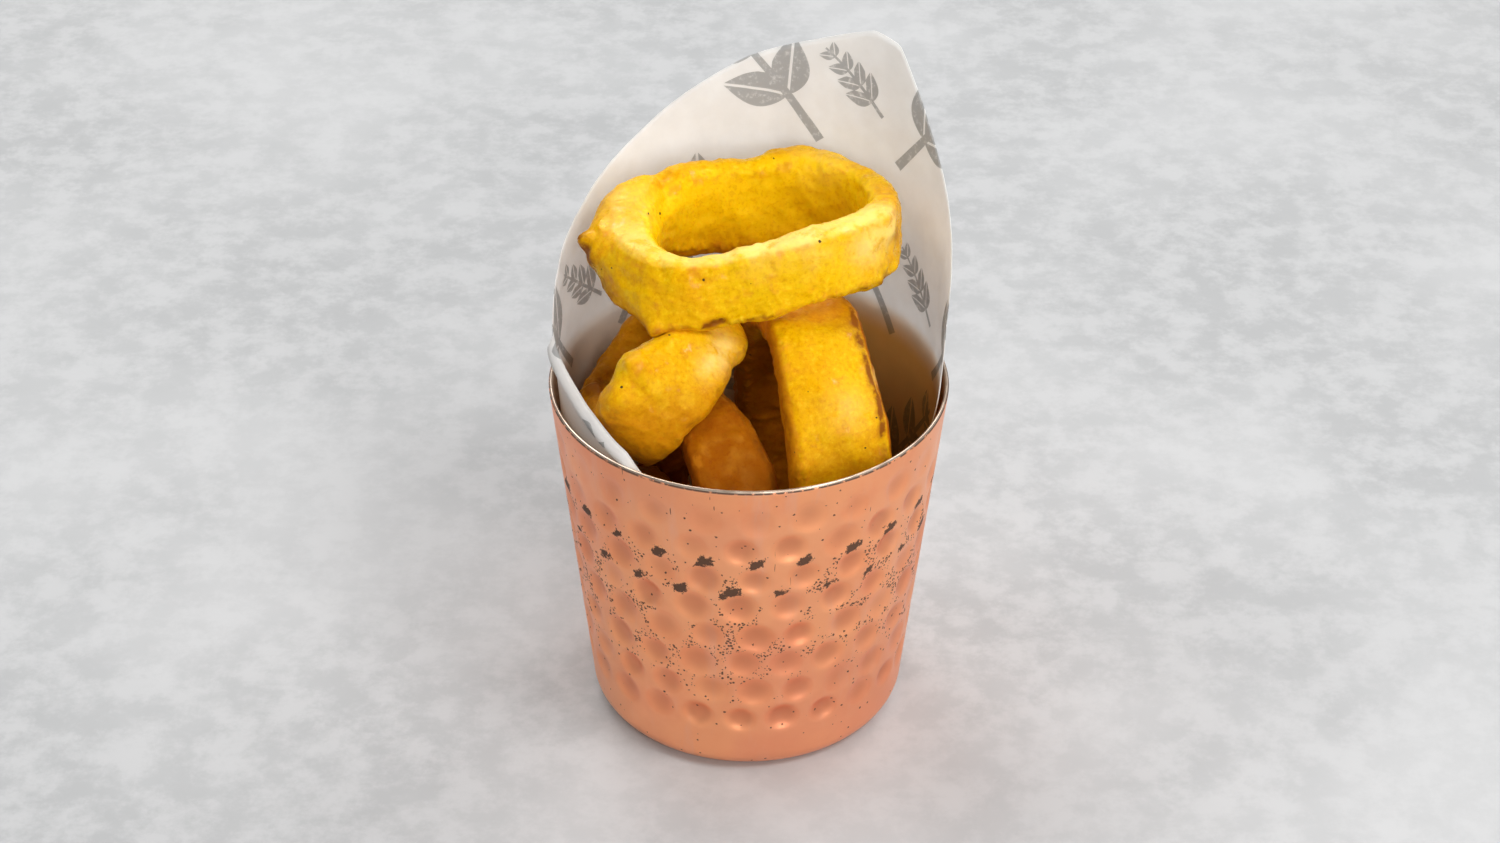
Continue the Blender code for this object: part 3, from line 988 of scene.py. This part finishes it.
def shape_ring(bm, shape):
    """Moves the torus to the ring's form. Gives each vertex's place on its band's section."""
    to_cup = loop_frame(shape)
    to_ring = to_cup.inverted()
    knobs = [
        (to_ring @ (Vector((x, y, z)) * MM), out, reach) for x, y, z, out, reach in shape["knobs"]]
    sections = []
    for point in bm.verts:
        loop = math.atan2(point.co.y, point.co.x)
        section = math.atan2(point.co.z, math.hypot(point.co.x, point.co.y) - 1.0)
        position = 8 * loop / math.tau
        across, along = rounded_box(section, around(shape["square"], position))
        half_wall = 0.5 * around(shape["wall"], position)
        radius = around(shape["radii"], position) - half_wall * (1.0 - across)
        offset = around(shape["lift"], position) + 0.5 * around(shape["band"], position) * along
        c, s = math.cos(loop), math.sin(loop)
        local = Vector((radius * c, radius * s, offset))
        outward = Vector((across * c, across * s, along)).normalized()
        lump = LUMP_HEIGHT * noise.noise(local / LUMP_SIZE + Vector((shape["seed"], 0.0, 0.0)))
        for place, out, reach in knobs:
            lump += out * math.exp(-((local - place).length / reach) ** 2)
        point.co = to_cup @ (local + outward * lump)
        sections.append((across, along))
    return sections


# %% [markdown]
# Some marks have a fixed place, because they show in the photograph: drips that set as points,
# folds in the coat, a slit, paler patches that also carry a painted oily sheen, and browned crumbs.
# Each is a place on the ring, a height or strength, and a reach, in millimetres. A negative height
# is a dent.

# %% Onion rings: marks with a fixed place
MARK_FADES_OUT = 2.5
RELIEF_MARKS = {
    "ring_top": (
        (-34.4, 8.6, 108.6, 2.2, 1.7), (-32.6, 4.6, 106.6, 1, 1.5), (-33.4, 6.2, 104.4, 0.9, 1.4),
        (-19.6, -9.6, 98.6, 2.4, 1.7), (-16, -9.8, 98.6, 0.7, 2), (-28, -0.5, 98.6, 1.6, 5),
        (-9, -9.9, 100, -0.9, 0.9), (-7.3, -9.9, 100.1, -1.2, 1), (-5.5, -9.8, 100.5, -0.9, 0.9),
        (-18.9, 27.9, 113.8, -2.6, 2.2), (-17.9, 24.6, 112.4, -1.7, 2),
        (-17.3, 21.4, 110.6, -1.2, 2), (-27, 21, 114, 0.9, 4), (-22, 24, 114, 0.6, 2.4),
        (-8, 37.2, 114, 1, 1.5), (-3.5, 37.8, 114.4, 1.4, 1.8), (1, 37.8, 114.8, 0.9, 1.4),
        (4.5, 37.5, 115, 0.7, 1.4), (24.8, 2.1, 116, -0.8, 1.6), (27.8, 5, 116.5, 0.6, 1.4),
        (21.8, 0, 115.4, 0.6, 1.8), (27.4, 1, 103.4, 1, 1.4), (25.4, -0.8, 101.2, 1, 1.4),
        (28.5, 3, 106.6, 0.8, 1.4), (22.8, -3.2, 100.4, 0.8, 1.5), (30.5, 7, 103.5, 0.9, 1.4),
        (-18, -7.8, 111.2, -0.4, 1.8), (-12.2, -7, 112.8, -0.5, 1.6), (-6, -6.9, 113.6, -0.4, 1.8),
        (9, -6, 113, -0.4, 2.2), (15, -3.5, 113.5, 0.5, 2.4)),
    "ring_left": (
        (-22.4, -19, 95.8, 1.3, 2), (-24, -18.6, 95.2, 0.7, 1.4), (-22.9, -22, 91.6, -1.4, 2),
        (-24.5, -20.5, 92, -0.9, 1.8), (-27.6, -22, 89.4, 0.7, 3), (-33.3, -0.9, 76.9, 1.3, 1.9),
        (-31, 3.9, 76.9, -1, 1.6), (-32, 0.6, 78.4, 0.8, 1.3), (-34.6, -3, 77.2, -0.8, 1.4),
        (-30, 6, 77.6, 0.7, 1.4), (-33, -5.4, 78.2, 1, 1.5), (-5.2, -9.5, 94, -0.5, 2.4),
        (-15, -16.5, 94.6, 0.4, 2.5)),
    "ring_middle": (
        (-7, -23, 78, 0.5, 3.5), (-4, -27, 72, -0.5, 2.2)),
    "ring_right": (
        (22, -16, 91.5, -0.5, 2), (20, -24, 84, 0.5, 2.6), (16, -20, 88.5, 0.5, 2.6),
        (18.8, -9.6, 96, 0.5, 3), (14, -26, 81.5, -0.4, 2.4)),
    "ring_low": (
        (-22, -12, 62, 0.5, 4),),
}
BROWN_MARKS = {
    "ring_top": (
        (-34.2, 7.6, 107.6, 0.9, 2.6), (-32.6, 4.6, 105.4, 0.6, 2.6),
        (-7.3, -9.9, 100.1, 1.1, 1.1), (-9.2, -9.9, 99.9, 0.9, 0.8), (-5.3, -9.8, 100.5, 0.9, 0.8),
        (-5.5, 38, 114.4, 0.9, 2.4), (-1, 38, 114.8, 0.8, 2), (3, 37.8, 115, 0.6, 2),
        (-10, 37.4, 114, 0.5, 2), (31.5, 9, 110, 0.5, 2.4), (29, 3, 105, 0.45, 2.6),
        (26, -1, 101.4, 0.5, 2.4), (-20.2, -10.2, 98, 0.5, 1.4), (-30, 1, 100, 0.45, 4)),
    "ring_left": (
        (-33, -1, 77.5, 0.55, 4.5), (-31, 4, 77.5, 0.45, 4), (-28.5, -22.5, 84, 0.4, 3)),
    "ring_middle": (
        (2, -25, 70, 0.3, 4),),
    "ring_right": (
        (25.5, -9, 96.5, 0.6, 3), (23, -4, 98, 0.4, 4)),
    "ring_low": (),
}
# Paler patches: partly the coat's own colour, partly a painted oily sheen.
PALE_AND_SHEEN_MARKS = {
    "ring_top": (
        (12, -3.8, 115, 0.5, 4), (2, -5, 114.6, 0.4, 4), (24, 1, 113, 0.8, 4.5),
        (29, 6, 114, 0.8, 4), (-27, 16, 113.6, 0.3, 5), (16, 34, 115.5, 0.3, 6)),
    "ring_left": (
        (-4.6, -8.6, 94, 0.7, 3.4), (-6.5, -12.5, 93.2, 0.7, 3), (-9, -15.6, 92, 0.5, 2.4)),
    "ring_middle": (),
    "ring_right": (
        (20.5, -22, 87, 0.35, 4), (26.5, -14, 90, 0.4, 2)),
    "ring_low": (),
}


def marked(place, marks):
    """Sum of the marks at a place, given in metres."""
    total = 0.0
    for x, y, z, height, reach in marks:
        far = (place / MM - Vector((x, y, z))).length / reach
        if far < MARK_FADES_OUT:
            total += height * math.exp(-far * far)
    return total


# %% [markdown]
# The coat's own relief has several sizes: soft swellings a few millimetres wide, puffs with creases
# between them, small bumps, and single blisters. Along the edges of the band the batter gathers
# and sets as a thin ragged crest, high in some stretches and missing in others. The shade between
# the rings and low in the cup is painted into the batter: each vertex carries how much painted
# shade it gets. It also carries how browned it is, how much paler it is with a painted oily sheen,
# and whether it lies on the band's inside, which is painted brighter as a painted highlight, for
# the finish to read.

# %% Onion rings: relief and colour of the batter
RING_FILL = 0.18
SWELL_HEIGHT, SWELL_SIZE = 0.60, 6.5
PUFF_HEIGHT, PUFF_SIZE, PUFF_MIDDLE = 0.52, 3.4, 0.32
BUMP_HEIGHT, BUMP_SIZE = 0.12, 1.5
FINE_HEIGHT, FINE_SIZE = 0.06, 0.7
BLISTER_HEIGHT, BLISTER_SPACING, BLISTER_REACH = 0.30, 2.4, 0.40
BLISTER_PATCH, BLISTER_PATCHY = 8.0, 0.05
BATTER_LAYERS = ("browned", "pale_and_sheen", "crest", "painted_shade", "inner")


def batter_relief(place, seed):
    """Height of the coat in millimetres from soft swellings down to small blisters."""
    p = place / MM + Vector((seed, 2 * seed, -seed))
    swell = SWELL_HEIGHT * noise.noise(p / SWELL_SIZE)
    puff = PUFF_HEIGHT * (PUFF_MIDDLE - abs(noise.noise(p / PUFF_SIZE)))
    small = BUMP_HEIGHT * noise.noise(p / BUMP_SIZE) + FINE_HEIGHT * noise.noise(p / FINE_SIZE)
    blister = 0.0
    if noise.noise(p / BLISTER_PATCH) > BLISTER_PATCHY:
        nearest = noise.voronoi(p / BLISTER_SPACING)[0][0]
        blister = BLISTER_HEIGHT * max(0.0, BLISTER_REACH - nearest)
    return swell + puff + small + blister


def edge_share(across, along):
    """1 on the rounded edges of the band and 0 on its four faces."""
    return smoothstep(0.94, 1.0, 2.0 * abs(across * along) / (across * across + along * along))


def crest_relief(place, edge, seed):
    """A thin ragged crest: higher in some stretches and missing in others."""
    p = place / MM + Vector((seed, -seed, 3 * seed))
    stretch = smoothstep(-0.25, 0.30, noise.noise(p / 5.0))
    ragged = 0.55 + 0.9 * noise.noise(p / 1.2) + 0.5 * noise.noise(p / 0.6)
    return edge * edge * stretch * max(0.0, ragged)


def edge_browning(place, edge, seed):
    """How browned the edge is: a thin line, wide in some stretches and gone in others."""
    p = place / MM + Vector((2 * seed, seed, -seed))
    stretch = smoothstep(-0.35, 0.35, noise.noise(p / 6.0) + 0.5 * noise.noise(p / 1.8))
    return edge**6 * (0.25 + 1.2 * stretch)


def painted_shade_of_batter(name, place, along):
    """How much painted shade the batter gets: 0 clear yellow, 1 the orange of shade between rings.
    """
    x, y, z = place / MM
    if name == "ring_top":
        left_low = smoothstep(-8, -30, x) * smoothstep(112, 99, z)
        return 0.50 * smoothstep(104, 92, z) + 0.40 * left_low
    if name == "ring_left":
        far = smoothstep(-12, -2, y) * smoothstep(90, 82, z)
        return max(0.18 + 0.55 * smoothstep(95, 83, z), 0.50 * far)
    if name == "ring_middle":
        return 1.16 + 0.15 * smoothstep(78, 70, z)
    if name == "ring_right":
        side = smoothstep(-0.80, -0.97, along)
        outer_side = smoothstep(0.86, 0.97, along) * smoothstep(60, 80, z)
        hidden = max(smoothstep(72, 60, z), smoothstep(92, 80, z) * smoothstep(-4, 4, y))
        top = 0.60 * smoothstep(-14, -2, y)
        face = 0.14 + 0.36 * smoothstep(86, 76, z)
        return max(0.95 * side, 1.25 * outer_side, top, 1.2 * hidden, face)
    return 1.2


def build_ring(name, finish):
    shape = RINGS[name]
    bm = plain_torus()
    sections = shape_ring(bm, shape)
    bmesh.ops.recalc_face_normals(bm, faces=bm.faces)
    bm.normal_update()
    layers = {label: bm.verts.layers.float.new(label) for label in BATTER_LAYERS}
    seed = shape["seed"]
    moves = []
    for point, (across, along) in zip(bm.verts, sections):
        place = point.co.copy()
        edge = edge_share(across, along)
        side = 0 if along > 0 else 1
        crest = shape["crest"][side] * crest_relief(place, edge, seed)
        height = RING_FILL + batter_relief(place, seed) + crest + marked(place, RELIEF_MARKS[name])
        moves.append(point.normal * height * MM)
        browning = shape["brown"][side] * edge_browning(place, edge, seed)
        browning *= 1.0 if across > 0 else 0.5
        point[layers["browned"]] = min(1.0, browning + marked(place, BROWN_MARKS[name]))
        # The front top lip of the ring is painted paler, a painted highlight.
        lip = smoothstep(0.78, 0.96, along) * smoothstep(14 * MM, 4 * MM, place.y)
        lip *= shape["painted_lip_highlight"]
        point[layers["pale_and_sheen"]] = min(1.0, marked(place, PALE_AND_SHEEN_MARKS[name]) + lip)
        point[layers["crest"]] = edge
        # The band's inside is painted a brighter yellow, a painted highlight.
        point[layers["inner"]] = smoothstep(-0.3, -0.8, across)
        # How much painted shade this vertex gets.
        point[layers["painted_shade"]] = painted_shade_of_batter(name, place, along)
    for point, move in zip(bm.verts, moves):
        point.co += move
    return piece_from(bm, "onion_" + name, [finish], name)


# %% [markdown]
# Batter fried in hot oil is a strong, clear yellow where the coat is thick and puffed, turns to
# orange where it is thin, and browns along its thin crests. Where its neighbours shade it, the
# orange down to dark brown is painted shade; the band's inside is painted brighter as a painted
# highlight, and paler patches carry a painted oily sheen. Light goes a little way into it, which is
# why its shadows stay warm, and the oil on it gives small wet highlights. Pepper shows as sparse
# black specks.

# %% Batter finish
BATTER_YELLOW = (0.79, 0.465, 0.001, 1)
BATTER_GOLD = (0.75, 0.375, 0.001, 1)
BATTER_THIN = (0.72, 0.27, 0.001, 1)
BATTER_LIT_INSIDE = (0.94, 0.60, 0.002, 1)
BATTER_HALF_SHADE = (0.59, 0.230, 0.002, 1)
BATTER_SHADED = (0.34, 0.085, 0.001, 1)
BATTER_DARKEST_SHADE = (0.10, 0.016, 0.002, 1)
BATTER_CREAMY = (0.97, 0.68, 0.03, 1)
BATTER_PIT = (0.80, 0.62, 0.50, 1)
BATTER_PALE_AND_SHEEN = (1.0, 0.78, 0.24, 1)
BATTER_CRUST = (0.72, 0.27, 0.012, 1)
BATTER_BROWNED = (0.24, 0.065, 0.003, 1)
PEPPER_BLACK = (0.05, 0.022, 0.008, 1)


def batter_colour(tree, place, middle, painted_shade):
    """Colour of the coat, from what its vertices carry and from noise of three sizes."""
    browned, pale_and_sheen, crest, inner = (
        named_values(tree, label) for label in ("browned", "pale_and_sheen", "crest", "inner"))
    wide = noise_at(tree, place, 75.0, 3.0)
    fine = noise_at(tree, place, 1100.0, 4.0, 0.65)
    uneven = times(tree, minus(tree, middle, 0.5), 0.6)
    # Painted shade, made uneven by noise where there is some.
    depth = plus(tree, painted_shade, times(tree, uneven, fade(tree, painted_shade, 0.0, 0.3)))
    creamy = minus(tree, 0.40, times(tree, painted_shade, 0.38))
    colour = blend(tree, fade(tree, wide, 0.35, 0.65), BATTER_YELLOW, BATTER_GOLD)
    colour = layer_on(tree, colour, (
        (times(tree, fade(tree, middle, 0.50, 0.72), 0.5), BATTER_THIN),
        (times(tree, inner, 0.80), BATTER_LIT_INSIDE),
        (fade(tree, depth, 0.0, 0.75), BATTER_HALF_SHADE),
        (fade(tree, depth, 0.70, 1.25), BATTER_SHADED),
        (fade(tree, depth, 1.25, 1.80), BATTER_DARKEST_SHADE),
        (times(tree, fade(tree, fine, 0.52, 0.72), creamy, clamp=True), BATTER_CREAMY)))
    pits = times(tree, fade(tree, fine, 0.49, 0.36), 0.50)
    colour = blend(tree, pits, colour, BATTER_PIT, mode="MULTIPLY")
    pale_and_sheen_share = times(tree, pale_and_sheen, fade(tree, middle, 0.25, 0.6), clamp=True)
    crusty = times(tree, crest, fade(tree, middle, 0.50, 0.64))
    brown_share = times(
        tree, browned, plus(tree, fade(tree, middle, 0.38, 0.58), 0.45), clamp=True)
    pepper = use_group(tree, specks, {
        "Vector": place, "Scale": 420.0, "Size": 0.085, "Amount": 0.12}).outputs["Mask"]
    return layer_on(tree, colour, (
        (times(tree, pale_and_sheen_share, 0.75), BATTER_PALE_AND_SHEEN),
        (times(tree, crusty, 0.45), BATTER_CRUST),
        (brown_share, BATTER_BROWNED),
        (pepper, PEPPER_BLACK)))


def batter_finish():
    finish, tree, shader = new_finish("fried_batter")
    place = node(tree, "ShaderNodeTexCoord").outputs["Object"]
    painted_shade = named_values(tree, "painted_shade")
    middle = noise_at(tree, place, 260.0, 4.0, 0.6)
    oily = plus(tree, times(tree, fade(tree, middle, 0.38, 0.58), 0.36), 0.20)
    wet = times(tree, fade(tree, middle, 0.55, 0.66), 0.40)
    rough = use_group(tree, grain, {"Vector": place, "Scale": 900.0}).outputs["Height"]
    bump = node(tree, "ShaderNodeBump", {"Height": rough, "Strength": 0.5, "Distance": 0.16 * MM})
    fill(tree, shader, {
        "Base Color": batter_colour(tree, place, middle, painted_shade),
        "Roughness": plus(tree, oily, times(tree, painted_shade, 0.25), clamp=True),
        "Specular IOR Level": 0.28,
        "Specular Tint": (1.0, 0.80, 0.18, 1),
        "Coat Weight": times(tree, wet, fade(tree, painted_shade, 1.4, 0.4)),
        "Coat Roughness": 0.16,
        "Coat IOR": 1.40,
        "Subsurface Weight": 0.28,
        "Subsurface Scale": 1.4 * MM,
        "Subsurface Radius": (1.0, 0.45, 0.08),
        "Normal": bump.outputs["Normal"]})
    return finish


batter = batter_finish()
for ring_name in RINGS:
    build_ring(ring_name, batter)
